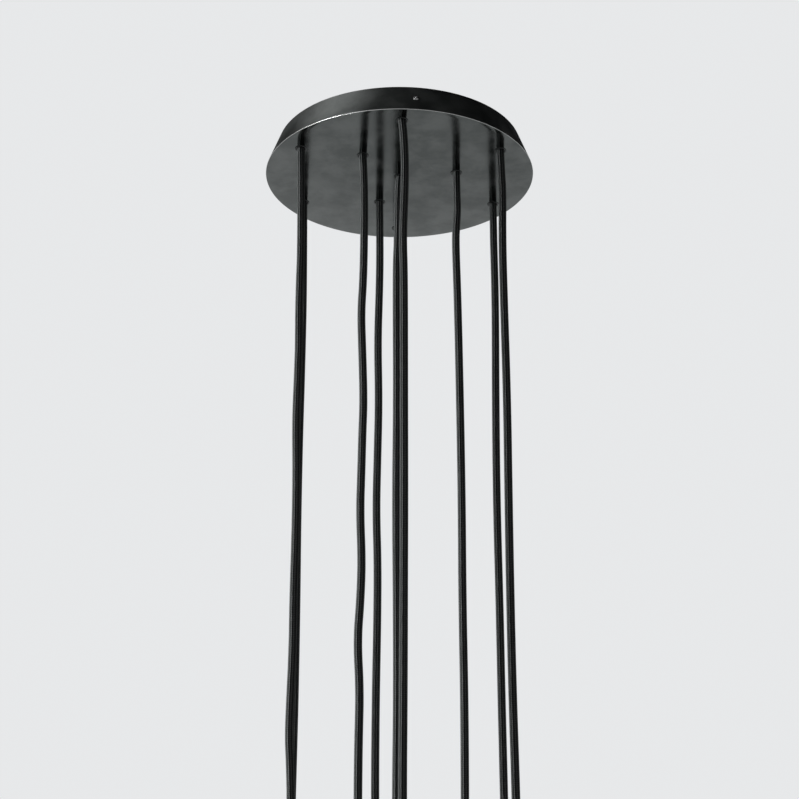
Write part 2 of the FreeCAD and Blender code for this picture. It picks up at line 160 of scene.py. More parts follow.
# what all metals share, and what all moulded pieces share, in metres
metalGrain = {"size": 0.0008, "bump": 0.4, "depth": 0.00002}
mouldedGrain = {"size": 0.0006, "bump": 0.5, "contrast": 1.4, "glossSpread": 0.06}


def cloudyMetal(name, dark, light, gloss, patch, contrast, metallic=1.0):
    material, tree, shader = newMaterial(name, Metallic=metallic)
    cloud = placeGroup(tree, cloudGroup, Size=patch, Contrast=contrast)
    tree.links.new(blendColour(tree, cloud.outputs[0], dark, light), shader.inputs["Base Color"])
    tree.links.new(remap(tree, cloud.outputs[0], *gloss), shader.inputs["Roughness"])
    fine = placeGroup(tree, grainGroup, Size=metalGrain["size"])
    addBump(tree, shader, fine.outputs[0], metalGrain["bump"], metalGrain["depth"])
    return material


def moulded(name, dark, light, roughness, patch=0.01, depth=0.00003):
    material, tree, shader = newMaterial(name)
    cloud = placeGroup(tree, cloudGroup, Size=patch, Contrast=mouldedGrain["contrast"])
    tree.links.new(blendColour(tree, cloud.outputs[0], dark, light), shader.inputs["Base Color"])
    near = mouldedGrain["glossSpread"]
    gloss = remap(tree, cloud.outputs[0], roughness - near, roughness + near)
    tree.links.new(gloss, shader.inputs["Roughness"])
    fine = placeGroup(tree, grainGroup, Size=mouldedGrain["size"])
    addBump(tree, shader, fine.outputs[0], mouldedGrain["bump"], depth)
    return material


# the canopy's dark nickel
canopyFinish = {
    "dark": (0.125, 0.136, 0.132), "light": (0.250, 0.263, 0.257), "patch": 0.042, "contrast": 4.2,
    # the back and left shares paint the underside paler towards the back, as a painted reflection, and
    # towards the left, as painted light
    "cloudShare": 0.50, "rimShare": 0.26, "backReflectionShare": 0.24, "leftLightShare": 0.14,
    "underGloss": (0.11, 0.17), "bandGloss": (0.33, 0.39), "bandFrom": -41.2,
    # the edge colour is partly polished metal and partly a painted highlight along the lower edge
    "edgeHighlightColour": (0.62, 0.63, 0.62), "edgeStart": 176.85, "edgeWidth": 0.3,
}


def finishCanopy(c):
    material, tree, shader = newMaterial("blackNickel", Metallic=1.0)
    link = tree.links.new
    coord = tree.nodes.new("ShaderNodeTexCoord")
    split = tree.nodes.new("ShaderNodeSeparateXYZ")
    link(coord.outputs["Object"], split.inputs[0])
    across, along, upright = split.outputs
    acrossSq = math2(tree, "MULTIPLY", across, across)
    alongSq = math2(tree, "MULTIPLY", along, along)
    flatSq = math2(tree, "ADD", acrossSq, alongSq)
    # paler towards the rim and in patches; the paler back is a painted reflection and the paler left is
    # painted light
    cloud = placeGroup(tree, cloudGroup, Size=c["patch"], Contrast=c["contrast"])
    reach = canopy["footR"] * mm
    rimward = math2(tree, "MULTIPLY", flatSq, c["rimShare"] / reach ** 2)
    paintedBackReflection = math2(tree, "MULTIPLY", along, c["backReflectionShare"] / reach)
    paintedLeftLight = math2(tree, "MULTIPLY", across, -c["leftLightShare"] / reach)
    patches = math2(tree, "MULTIPLY", cloud.outputs[0], c["cloudShare"])
    sideways = math2(tree, "ADD", paintedBackReflection, paintedLeftLight)
    toneAndPaintedLight = math2(tree, "ADD", math2(tree, "ADD", patches, rimward), sideways, clamp=True)
    plain = blendColour(tree, toneAndPaintedLight, c["dark"], c["light"])
    # the lower edge is painted bright: partly polished metal, partly a painted highlight along it
    past = math2(tree, "SUBTRACT", math2(tree, "SQRT", flatSq), c["edgeStart"] * mm)
    paintedEdgeMask = math2(tree, "DIVIDE", past, c["edgeWidth"] * mm, clamp=True)
    link(blendColour(tree, paintedEdgeMask, plain, c["edgeHighlightColour"]), shader.inputs["Base Color"])
    # the flat underside is smoother than the spun band
    onBand = math2(tree, "GREATER_THAN", upright, c["bandFrom"] * mm)
    under = remap(tree, cloud.outputs[0], *c["underGloss"])
    band = remap(tree, cloud.outputs[0], *c["bandGloss"])
    gap = math2(tree, "MULTIPLY", math2(tree, "SUBTRACT", band, under), onBand)
    link(math2(tree, "ADD", under, gap), shader.inputs["Roughness"])
    fine = placeGroup(tree, grainGroup, Size=metalGrain["size"])
    addBump(tree, shader, fine.outputs[0], metalGrain["bump"], metalGrain["depth"])
    return material


# dark and light colour, range of gloss, size of the patches in metres, and their contrast
headMetal = cloudyMetal("headNickel", (0.13, 0.14, 0.137), (0.20, 0.21, 0.205), (0.20, 0.30), 0.02, 2.0)
bushingMetal = cloudyMetal(
    "bushingNickel", (0.055, 0.06, 0.058), (0.10, 0.105, 0.103), (0.2, 0.3), 0.006, 2.0)
screwMetal = cloudyMetal("blackenedScrew", (0.16, 0.16, 0.16), (0.26, 0.26, 0.26), (0.16, 0.26), 0.003, 2.0)
zincMetal = cloudyMetal(   # a dull passivated plating
    "zincPlate", (0.46, 0.47, 0.47), (0.60, 0.60, 0.59), (0.34, 0.5), 0.012, 1.5, metallic=0.45)
brassMetal = cloudyMetal("brassScrew", (0.55, 0.38, 0.14), (0.74, 0.55, 0.25), (0.25, 0.4), 0.003, 2.0)
capMetal = cloudyMetal("capNickel", (0.60, 0.59, 0.56), (0.72, 0.71, 0.68), (0.2, 0.32), 0.006, 1.6)

holderResin = moulded("holderResin", (0.014, 0.014, 0.015), (0.026, 0.026, 0.027), 0.38)
stripNylon = moulded("stripNylon", (0.72, 0.71, 0.66), (0.80, 0.79, 0.74), 0.5)
leadSheath = moulded("leadSheath", (0.016, 0.016, 0.017), (0.03, 0.03, 0.032), 0.4, patch=0.02)
opalGlass = moulded(
    "opalGlass", (0.83, 0.82, 0.77), (0.90, 0.89, 0.85), 0.28, patch=0.03, depth=0.000004)
opalDepth = {
    "Coat Weight": 0.6, "Coat Roughness": 0.12, "Subsurface Weight": 0.25, "Subsurface Scale": 0.004,
}
for key, value in opalDepth.items():
    opalGlass.node_tree.nodes["Principled BSDF"].inputs[key].default_value = value

# green sheath with a yellow stripe that winds along it
earthStyle = {
    "green": (0.03, 0.30, 0.05), "yellow": (0.75, 0.62, 0.04), "waves": 90.0, "stripeFrom": 0.55,
}
earthSheath, earthTree, earthShader = newMaterial("earthSheath", Roughness=0.38)
earthCoord = earthTree.nodes.new("ShaderNodeTexCoord")
earthWave = addNode(earthTree, "ShaderNodeTexWave", Scale=earthStyle["waves"], Distortion=1.0)
earthTree.links.new(earthCoord.outputs["Object"], earthWave.inputs["Vector"])
earthMask = math2(earthTree, "GREATER_THAN", earthWave.outputs["Fac"], earthStyle["stripeFrom"])
earthColour = blendColour(earthTree, earthMask, earthStyle["green"], earthStyle["yellow"])
earthTree.links.new(earthColour, earthShader.inputs["Base Color"])

# knitted textile sleeve over the cord. Its map runs 0 to 1 round the cord, and in metres along it.
sleeveFinish = {
    "sockets": {
        "Roughness": 0.40, "Specular IOR Level": 0.04, "Sheen Weight": 0.1, "Sheen Roughness": 0.3,
    },
    # the groove colour is painted shade and the crest colour a painted highlight on the ribs
    "groove": (0.002, 0.0022, 0.0022), "crest": (0.165, 0.175, 0.174), "bump": 0.55, "depth": 0.00028,
    "ribs": 10, "crestPower": 1.6, "crestFall": 3.0, "stitch": 0.0021, "slant": 0.9, "stitchPower": 0.6,
    "stitchShade": 0.75, "stitchFloor": 0.12, "fibreScale": 1100.0, "fibreRise": 0.3, "fibreShade": 0.5,
}


def finishSleeve(c):
    material, tree, shader = newMaterial("knittedSleeve", **c["sockets"])
    link = tree.links.new
    place = addNode(tree, "ShaderNodeUVMap", uv_map="cordMap")
    split = tree.nodes.new("ShaderNodeSeparateXYZ")
    link(place.outputs[0], split.inputs[0])
    # from -0.5 to 0.5 across each rib, 0 on its crest
    ribsRound = math2(tree, "MULTIPLY", split.outputs[0], c["ribs"])
    across = math2(tree, "FRACT", math2(tree, "ADD", ribsRound, 0.5))
    offCrest = math2(tree, "ABSOLUTE", math2(tree, "SUBTRACT", across, 0.5))
    fall = math2(tree, "MULTIPLY", math2(tree, "POWER", offCrest, c["crestPower"]), c["crestFall"])
    crest = math2(tree, "SUBTRACT", 1.0, fall, clamp=True)
    # each stitch is a small V along its rib
    rows = math2(tree, "DIVIDE", split.outputs[1], c["stitch"])
    turns = math2(tree, "ADD", rows, math2(tree, "MULTIPLY", offCrest, c["slant"]))
    wave = math2(tree, "ABSOLUTE", math2(tree, "SINE", math2(tree, "MULTIPLY", turns, math.pi)))
    stitch = math2(tree, "POWER", wave, c["stitchPower"])
    fibre = addNode(tree, "ShaderNodeTexNoise", Scale=c["fibreScale"], Detail=2.0)
    coord = tree.nodes.new("ShaderNodeTexCoord")
    link(coord.outputs["Object"], fibre.inputs["Vector"])
    knit = math2(tree, "MULTIPLY", stitch, crest)
    fuzz = math2(tree, "MULTIPLY", fibre.outputs["Fac"], c["fibreRise"])
    addBump(tree, shader, math2(tree, "ADD", knit, fuzz), c["bump"], c["depth"])
    # painted light: the crests are painted pale as a painted highlight on the ribs, and the grooves and the
    # gaps between stitches dark as painted shade; the fibre noise adds uneven tone
    shade = math2(tree, "ADD", math2(tree, "MULTIPLY", stitch, c["stitchShade"]), c["stitchFloor"])
    paintedRibLight = math2(tree, "MULTIPLY", crest, shade)
    uneven = math2(tree, "ADD", fibre.outputs["Fac"], c["fibreShade"])
    toneAndPaintedLight = math2(tree, "MULTIPLY", paintedRibLight, uneven, clamp=True)
    link(blendColour(tree, toneAndPaintedLight, c["groove"], c["crest"]), shader.inputs["Base Color"])
    return material


cordTextile = finishSleeve(sleeveFinish)
print("finishes made")


# mesh helpers, all in mm
def addToScene(name, data):
    added = bpy.data.objects.new(name, data)
    bpy.context.scene.collection.objects.link(added)
    return added


def toMesh(name, bm, materials):
    mesh = bpy.data.meshes.new(name)
    bm.to_mesh(mesh)
    bm.free()
    for material in materials:
        mesh.materials.append(material)
    return mesh


def finishMesh(name, bm, materials, sharpAngle=32, body=None, nodes=()):
    bmesh.ops.scale(bm, vec=(mm, mm, mm), verts=bm.verts)
    return finishPiece(name, toMesh(name, bm, materials), sharpAngle, body, nodes)


def finishPiece(name, mesh, sharpAngle, body, nodes):
    mesh.shade_smooth()
    mesh.set_sharp_from_angle(angle=math.radians(sharpAngle))
    piece = addToScene(name, mesh)
    if body:
        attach(piece, body)
    if nodes:
        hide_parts(*nodes)
    return piece


arcStep = math.radians(15)   # one short piece of a rounding


def softCorners(points, closed=True):
    # points are (r, z) or (r, z, rounding), and each rounding becomes a short arc
    out = []
    count = len(points)
    for i, point in enumerate(points):
        rounding = point[2] if len(point) > 2 else 0
        here = Vector(point[:2])
        if not rounding or (not closed and i in (0, count - 1)):
            out.append(here)
            continue
        into = (here - Vector(points[i - 1][:2])).normalized()
        away = (Vector(points[(i + 1) % count][:2]) - here).normalized()
        half = into.angle(away) / 2
        if half < 0.01:
            out.append(here)
            continue
        reach = rounding * math.tan(half)
        centre = here + (away - into).normalized() * (rounding / math.cos(half))
        first = here - into * reach - centre
        last = here + away * reach - centre
        total = first.angle_signed(last)
        steps = max(3, round(abs(total) / arcStep))
        for k in range(steps + 1):
            out.append(centre + Matrix.Rotation(-total * k / steps, 2) @ first)
    return out


def circleOf(bm, centre, radius, steps):
    x, y, z = centre
    ring = []
    for k in range(steps):
        a = 2 * math.pi * k / steps
        ring.append(bm.verts.new((x + radius * math.cos(a), y + radius * math.sin(a), z)))
    return ring


def bridge(bm, low, high):
    # a wall between two rings with the same number of points
    faces = []
    for k in range(len(low)):
        n = (k + 1) % len(low)
        faces.append(bm.faces.new((low[k], low[n], high[n], high[k])))
    return faces


def lathe(bm, profile, steps, place=(0, 0, 0), index=0, closed=True):
    # turns a profile of (r, z) about the upright line through place
    x, y, base = place
    rings = []
    for point in profile:
        r, z = point[0], base + point[1]
        if r < 1e-6:
            rings.append([bm.verts.new((x, y, z))])
        else:
            rings.append(circleOf(bm, (x, y, z), r, steps))
    pairs = list(zip(rings, rings[1:])) + ([(rings[-1], rings[0])] if closed else [])
    for low, high in pairs:
        if len(low) == len(high):
            faces = bridge(bm, low, high) if len(low) > 1 else []
        elif len(low) == 1:
            faces = [bm.faces.new((low[0], b, a)) for a, b in zip(high, high[1:] + high[:1])]
        else:
            faces = [bm.faces.new((a, b, high[0])) for a, b in zip(low, low[1:] + low[:1])]
        for face in faces:
            face.material_index = index


def outwards(bm):
    bmesh.ops.remove_doubles(bm, verts=bm.verts, dist=1e-4)
    bmesh.ops.recalc_face_normals(bm, faces=bm.faces)
    # a deep recess can turn a shell inside out, and then its volume is below zero
    left = set(bm.faces)
    while left:
        shell = [left.pop()]
        for face in shell:
            near = {other for edge in face.edges for other in edge.link_faces} & left
            left -= near
            shell += near
        if sum(face.calc_center_median().dot(face.normal) * face.calc_area() for face in shell) < 0:
            bmesh.ops.reverse_faces(bm, faces=shell)


# each end of a hexagon is a circle a little inside its flats
hexStyle = {"steps": 96, "chamfer": 30.0, "endShare": 0.97}


def hexNut(bm, flats, low, high, boreR, place=(0, 0)):
    # hexagon whose corners are turned off at both ends
    inR = flats / 2
    endR = inR * hexStyle["endShare"]
    slope = math.tan(math.radians(hexStyle["chamfer"]))
    columns = []
    for k in range(hexStyle["steps"]):
        a = 2 * math.pi * k / hexStyle["steps"]
        r = inR / math.cos((a % (math.pi / 3)) - math.pi / 6)
        cut = (r - endR) * slope
        stack = [(boreR, low), (endR, low), (r, low + cut), (r, high - cut), (endR, high), (boreR, high)]
        column = []
        for q, z in stack:
            column.append(bm.verts.new((place[0] + q * math.cos(a), place[1] + q * math.sin(a), z)))
        columns.append(column)
    for here, there in zip(columns, columns[1:] + columns[:1]):
        for j in range(len(here)):
            n = (j + 1) % len(here)
            bm.faces.new((here[j], there[j], there[n], here[n]))


# geometry node trees for what repeats
def startTree(name, inputs):
    tree = bpy.data.node_groups.new(name, "GeometryNodeTree")
    tree.interface.new_socket("Geometry", in_out="OUTPUT", socket_type="NodeSocketGeometry")
    for label, kind in inputs:
        tree.interface.new_socket(label, in_out="INPUT", socket_type="NodeSocket" + kind)
    return tree, tree.nodes.new("NodeGroupInput")


def endTree(tree, source, points, turn=None):
    # the piece on every point, made real and painted
    link = tree.links.new
    info = tree.nodes.new("GeometryNodeObjectInfo")
    place = tree.nodes.new("GeometryNodeInstanceOnPoints")
    realize = tree.nodes.new("GeometryNodeRealizeInstances")
    paint = tree.nodes.new("GeometryNodeSetMaterial")
    out = tree.nodes.new("NodeGroupOutput")
    link(source.outputs["Piece"], info.inputs["Object"])
    link(points, place.inputs["Points"])
    link(info.outputs["Geometry"], place.inputs["Instance"])
    if turn:
        link(turn, place.inputs["Rotation"])
    link(place.outputs[0], realize.inputs[0])
    link(realize.outputs[0], paint.inputs["Geometry"])
    link(source.outputs["Finish"], paint.inputs["Material"])
    link(paint.outputs[0], out.inputs[0])
    return tree


def ringTree():
    # copies of one piece on a circle, each turned with it
    tree, source = startTree("copiesOnRing", [
        ("Piece", "Object"), ("Count", "Int"), ("Radius", "Float"), ("First Angle", "Float"),
        ("Wobble", "Float"), ("Seed", "Int"), ("Finish", "Material")])
    link = tree.links.new
    points = tree.nodes.new("GeometryNodePoints")
    index = tree.nodes.new("GeometryNodeInputIndex")
    step = math2(tree, "DIVIDE", 2 * math.pi, source.outputs["Count"])
    turned = math2(tree, "MULTIPLY", step, index.outputs[0])
    angle = math2(tree, "ADD", turned, source.outputs["First Angle"])
    radius = source.outputs["Radius"]
    where = tree.nodes.new("ShaderNodeCombineXYZ")
    link(math2(tree, "MULTIPLY", radius, math2(tree, "COSINE", angle)), where.inputs[0])
    link(math2(tree, "MULTIPLY", radius, math2(tree, "SINE", angle)), where.inputs[1])
    link(source.outputs["Count"], points.inputs["Count"])
    link(where.outputs[0], points.inputs["Position"])
    # each copy stands a little loose
    chance = addNode(tree, "FunctionNodeRandomValue", data_type="FLOAT")
    chance.inputs[2].default_value = -1.0
    chance.inputs[3].default_value = 1.0
    link(source.outputs["Seed"], chance.inputs["Seed"])
    loose = math2(tree, "MULTIPLY", chance.outputs[1], source.outputs["Wobble"])
    turn = tree.nodes.new("ShaderNodeCombineXYZ")
    link(math2(tree, "ADD", angle, loose), turn.inputs[2])
    return endTree(tree, source, points.outputs[0], turn.outputs[0])


def rowTree():
    # copies of one piece in a straight row along X
    tree, source = startTree("copiesInRow", [
        ("Piece", "Object"), ("Count", "Int"), ("Pitch", "Float"), ("Start", "Vector"),
        ("Finish", "Material")])
    link = tree.links.new
    line = tree.nodes.new("GeometryNodeMeshLine")
    offset = tree.nodes.new("ShaderNodeCombineXYZ")
    link(source.outputs["Pitch"], offset.inputs[0])
    link(source.outputs["Count"], line.inputs["Count"])
    link(source.outputs["Start"], line.inputs["Start Location"])
    link(offset.outputs[0], line.inputs["Offset"])
    return endTree(tree, source, line.outputs[0])


def runTree(tree, **values):
    # the tree's result as a plain mesh
    carrier = addToScene("carrier", bpy.data.meshes.new("carrier"))
    modifier = carrier.modifiers.new("copies", "NODES")
    modifier.node_group = tree
    for item in tree.interface.items_tree:
        if item.in_out == "INPUT" and item.name in values:
            modifier[item.identifier] = values[item.name]
    depsgraph = bpy.context.evaluated_depsgraph_get()
    mesh = bpy.data.meshes.new_from_object(carrier.evaluated_get(depsgraph), depsgraph=depsgraph)
    carrier.modifiers.clear()
    bpy.data.objects.remove(carrier)
    return mesh


def joinMeshes(name, meshes, materials):
    # several plain meshes as one, each with its own finish
    bm = bmesh.new()
    for index, mesh in enumerate(meshes):
        first = len(bm.faces)
        bm.from_mesh(mesh)
        bm.faces.ensure_lookup_table()
        for face in bm.faces[first:]:
            face.material_index = index
    return toMesh(name, bm, materials)


copiesOnRing = ringTree()
copiesInRow = rowTree()


def aroundExits(piece, finish, wobble=0.0, seed=1):
    # one piece at every cord exit: the outer ring, the inner ring and the middle
    meshes = []
    for k, ring in enumerate(exitRings):
        meshes.append(runTree(copiesOnRing, **{
            "Piece": piece, "Finish": finish, "Count": ring["count"], "Radius": ring["radius"] * mm,
            "First Angle": math.radians(ring["first"]), "Wobble": wobble, "Seed": seed + k}))
    bpy.data.objects.remove(piece)
    return joinMeshes("aroundExits", meshes, [finish] * len(meshes))


def mergedCopy(name, node, materials, sharpAngle=25, choose=None):
    # a CAD node's own shape, with its triangles joined so that round walls shade smoothly
    bm = bmesh.new()
    bm.from_mesh(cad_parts[node].data)
    bmesh.ops.remove_doubles(bm, verts=bm.verts, dist=1e-6)
    for face in bm.faces:
        face.material_index = choose(face.calc_center_median() / mm) if choose else 0
    finishPiece(name, toMesh(name, bm, materials), sharpAngle, "canopy", [node])


canopy = {
    "footR": 177.5, "rimR": 161.5, "height": 41.5, "wall": 1.5, "lip": 4.0, "steps": 240,
    "edgeRound": 0.5, "rimRound": 0.4, "lipRound": 0.3, "lipInside": 0.5, "insideRound": 2.0,
    "flatIn": 8.0, "holeR": 6.6, "holeSteps": 40,
}
undersideZ = -canopy["height"]   # the canopy's lower face, in mm
canopyMetal = finishCanopy(canopyFinish)


def buildCanopy(c):
    slant = math.atan2(c["footR"] - c["rimR"], c["height"])
    out = math.cos(slant) * c["wall"]
    drop = math.sin(slant) * c["wall"]

    def insideR(z):   # the wall's inner face at height z
        return c["footR"] - out + (z + c["height"] - drop) * -math.tan(slant)

    floorZ = -c["height"] + c["wall"]
    lipR = c["rimR"] - c["lip"]
    shell = softCorners([
        (c["footR"] - c["flatIn"], -c["height"]), (c["footR"], -c["height"], c["edgeRound"]),
        (c["rimR"], 0, c["rimRound"]), (lipR, 0, c["lipRound"]), (lipR, -c["wall"], c["lipRound"]),
        (insideR(-c["wall"]), -c["wall"], c["lipInside"]), (insideR(floorZ), floorZ, c["insideRound"]),
        (insideR(floorZ) - c["flatIn"], floorZ),
    ], closed=False)
    bm = bmesh.new()
    lathe(bm, shell, c["steps"], closed=False)
    # both faces of the flat floor are filled round the cords' holes, and the holes get their walls
    faces = []
    for z in (-c["height"], floorZ):
        edges = [e for e in bm.edges if e.is_boundary and all(abs(v.co.z - z) < 1e-4 for v in e.verts)]
        holes = [circleOf(bm, (x, y, z), c["holeR"], c["holeSteps"]) for x, y in exits.values()]
        for hole in holes:
            edges += [bm.edges.new((a, b)) for a, b in zip(hole, hole[1:] + hole[:1])]
        bmesh.ops.triangle_fill(bm, use_beauty=True, edges=edges)
        faces.append(holes)
    for low, high in zip(*faces):
        bridge(bm, low, high)
    outwards(bm)
    finishMesh("canopyPan", bm, [canopyMetal], 30, "canopy", ["canopy_pan"])


buildCanopy(canopy)

# a flanged bushing at each cord's exit, threaded inside the canopy for its lock nut
bushing = {
    "flangeR": 7.8, "flangeH": 0.8, "flangeRound": 0.35, "bodyR": 6.4, "bodyH": 14.0, "boreR": 5.4,
    "flare": 0.5, "flareShare": 0.9, "mouthRound": 0.2,
    "threads": 9, "threadFrom": 1.6, "threadRun": 11.0, "threadDepth": 0.35,
}


def buildBushings(b):
    profile = [
        (b["boreR"], -b["flangeH"] + b["flare"], b["mouthRound"]),
        (b["boreR"] + b["flare"] * b["flareShare"], -b["flangeH"], b["mouthRound"]),
        (b["flangeR"], -b["flangeH"], b["flangeRound"]), (b["flangeR"], 0, 0.1),
        (b["bodyR"], 0), (b["bodyR"], b["threadFrom"]),
    ]
    pitch = b["threadRun"] / b["threads"]
    rootR = b["bodyR"] - b["threadDepth"]
    for k in range(b["threads"]):
        z = b["threadFrom"] + k * pitch
        profile += [(rootR, z + pitch * 0.25), (rootR, z + pitch * 0.5), (b["bodyR"], z + pitch)]
    profile += [(b["bodyR"], b["bodyH"], 0.4), (b["boreR"], b["bodyH"], 0.3)]
    bm = bmesh.new()
    lathe(bm, softCorners(profile), 40, (0, 0, undersideZ))
    outwards(bm)
    one = finishMesh("oneBushing", bm, [bushingMetal])
    mesh = aroundExits(one, bushingMetal)
    finishPiece("cordBushings", mesh, 32, "canopy", ["cord_bushings"])


buildBushings(bushing)

lockNut = {"flats": 17.0, "height": 5.0, "boreR": 6.6, "loose": 0.5}
lockZ = undersideZ + canopy["wall"]
lockBm = bmesh.new()
hexNut(lockBm, lockNut["flats"], lockZ, lockZ + lockNut["height"], lockNut["boreR"])
outwards(lockBm)
oneNut = finishMesh("oneLockNut", lockBm, [zincMetal])
lockMesh = aroundExits(oneNut, zincMetal, lockNut["loose"], seed=4)
finishPiece("lockNuts", lockMesh, 25, "canopy", ["lock_nuts"])
print("canopy, bushings and lock nuts made")

# bent metal, screws and leads inside the canopy
mergedCopy("mountingPlate", "mounting_plate", [zincMetal])
mergedCopy("mountingArms", "mounting_arms", [zincMetal])
mergedCopy("sideScrews", "side_screws", [screwMetal], 35)
mergedCopy("smallNuts", "small_nuts", [zincMetal])
mergedCopy("innerLeads", "inner_leads", [leadSheath], 35)

# the earth lead's two ring terminals: one close under the plate, one on the canopy's floor
earthEnds = {"plate": (-22.0, 10.0), "above": -3.4, "floor": (-26.0, -6.0), "below": -39.1, "ringR": 4.6}


def earthFinish(point):
    # 1 on the two ring terminals, 0 on the lead
    def near(x, y):
        return math.hypot(point.x - x, point.y - y) < earthEnds["ringR"]

    onPlate = near(*earthEnds["plate"]) and point.z > earthEnds["above"]
    onFloor = near(*earthEnds["floor"]) and point.z < earthEnds["below"]
    return 1 if onPlate or onFloor else 0


mergedCopy("earthLead", "earth_lead", [earthSheath, capMetal], 35, earthFinish)

strip = {
    "poles": 12, "ears": 2, "pitch": 7.0, "gap": 1.0, "width": 17.0, "height": 15.0, "poleRound": 0.6,
    "top": -2.5, "webHeight": 6.0, "webRound": 0.5, "offset": 32.0,
    "clampR": 1.9, "clampInset": 4.2, "clampOut": 0.02, "clampSlot": 0.35, "clampSlotW": 0.6,
    "fixingR": 2.7, "fixingH": 1.8, "fixingSlot": 0.7, "fixingSlotW": 0.8,
}
slottedStyle = {"steps": 24, "backing": 1.2}


def roundedBox(bm, low, high, rounding):
    made = bmesh.ops.create_cube(bm, size=1)["verts"]
    size = Vector(high) - Vector(low)
    bmesh.ops.scale(bm, vec=size, verts=made)
    bmesh.ops.translate(bm, vec=Vector(low) + size / 2, verts=made)
    edges = list({e for v in made for e in v.link_edges})
    bmesh.ops.bevel(bm, geom=edges, offset=rounding, segments=3, affect="EDGES", profile=0.5)


def slottedHead(bm, radius, faceZ, slotZ, slotW, place):
    # a flat screw head that faces down, with a slot across it, as one closed shell
    half = slotW / 2
    edgeX = math.sqrt(radius * radius - half * half)
    spots = []
    for k in range(slottedStyle["steps"]):
        a = 2 * math.pi * k / slottedStyle["steps"]
        spots.append((radius * math.cos(a), radius * math.sin(a)))
    spots += [(x, y) for x in (-edgeX, edgeX) for y in (-half, half)]
    spots.sort(key=lambda p: math.atan2(p[1], p[0]) % (2 * math.pi))

    def level(points, z):
        return [bm.verts.new((place[0] + x, place[1] + y, z)) for x, y in points]

    mouth = level(spots, slotZ)
    back = level(spots, slotZ + slottedStyle["backing"])
    bridge(bm, mouth, back)
    bm.faces.new(back)
    bm.faces.new([v for v, p in zip(mouth, spots) if abs(p[1]) < half + 1e-6])
    for side in (-1, 1):
        kept = [(v, p) for v, p in zip(mouth, spots) if p[1] * side > half - 1e-6]
        land = level([p for v, p in kept], faceZ)
        bridge(bm, [v for v, p in kept], land)
        bm.faces.new(land)


def buildStrips(s):
    top = s["top"]
    faceZ = top - s["height"]
    webZ = top - s["webHeight"]
    half = (s["pitch"] - s["gap"]) / 2
    length = (s["poles"] + s["ears"]) * s["pitch"]
    pairOffset = [(2 * pair + 1 - s["poles"] / 2) * s["pitch"] for pair in (0, 1)]
    centres = [
        (exits["09"][0] - pairOffset[0], -s["offset"]),
        (exits["08"][0] - pairOffset[1], s["offset"]),
    ]
    # one pole: a barrel with its two clamping screws in sunk holes, all facing down
    bm = bmesh.new()
    roundedBox(bm, (-half, -s["width"] / 2, faceZ), (half, s["width"] / 2, top), s["poleRound"])
    outwards(bm)
    pole = finishMesh("onePole", bm, [stripNylon])
    bm = bmesh.new()
    for side in (-1, 1):
        place = (0, side * s["clampInset"])
        slottedHead(bm, s["clampR"], faceZ - s["clampOut"], faceZ + s["clampSlot"], s["clampSlotW"], place)
    outwards(bm)
    clamp = finishMesh("oneClamp", bm, [brassMetal])
    meshes = []
    finishes = []

    def addLoose(bm, label, finish):
        outwards(bm)
        loose = finishMesh(label, bm, [finish])
        meshes.append(loose.data)
        finishes.append(finish)
        bpy.data.objects.remove(loose)

    for x, y in centres:
        start = ((x - (s["poles"] - 1) * s["pitch"] / 2) * mm, y * mm, 0)
        for piece, finish in ((pole, stripNylon), (clamp, brassMetal)):
            meshes.append(runTree(copiesInRow, **{
                "Piece": piece, "Finish": finish, "Count": s["poles"], "Pitch": s["pitch"] * mm,
                "Start": start}))
            finishes.append(finish)
        # the web that joins the poles, and a fixing screw in each ear
        bm = bmesh.new()
        low = (x - length / 2, y - s["width"] / 2, webZ)
        high = (x + length / 2, y + s["width"] / 2, top)
        roundedBox(bm, low, high, s["webRound"])
        addLoose(bm, "oneWeb", stripNylon)
        bm = bmesh.new()
        headZ = webZ - s["fixingH"]
        for side in (-1, 1):
            place = (x + side * (length - s["pitch"]) / 2, y)
            slottedHead(bm, s["fixingR"], headZ, headZ + s["fixingSlot"], s["fixingSlotW"], place)
        addLoose(bm, "oneFixing", zincMetal)
    for piece in (pole, clamp):
        bpy.data.objects.remove(piece)
    mesh = joinMeshes("terminalStrips", meshes, finishes)
    finishPiece("terminalStrips", mesh, 30, "canopy", ["terminal_strips"])


buildStrips(strip)
print("plate, strips, leads and screws made")

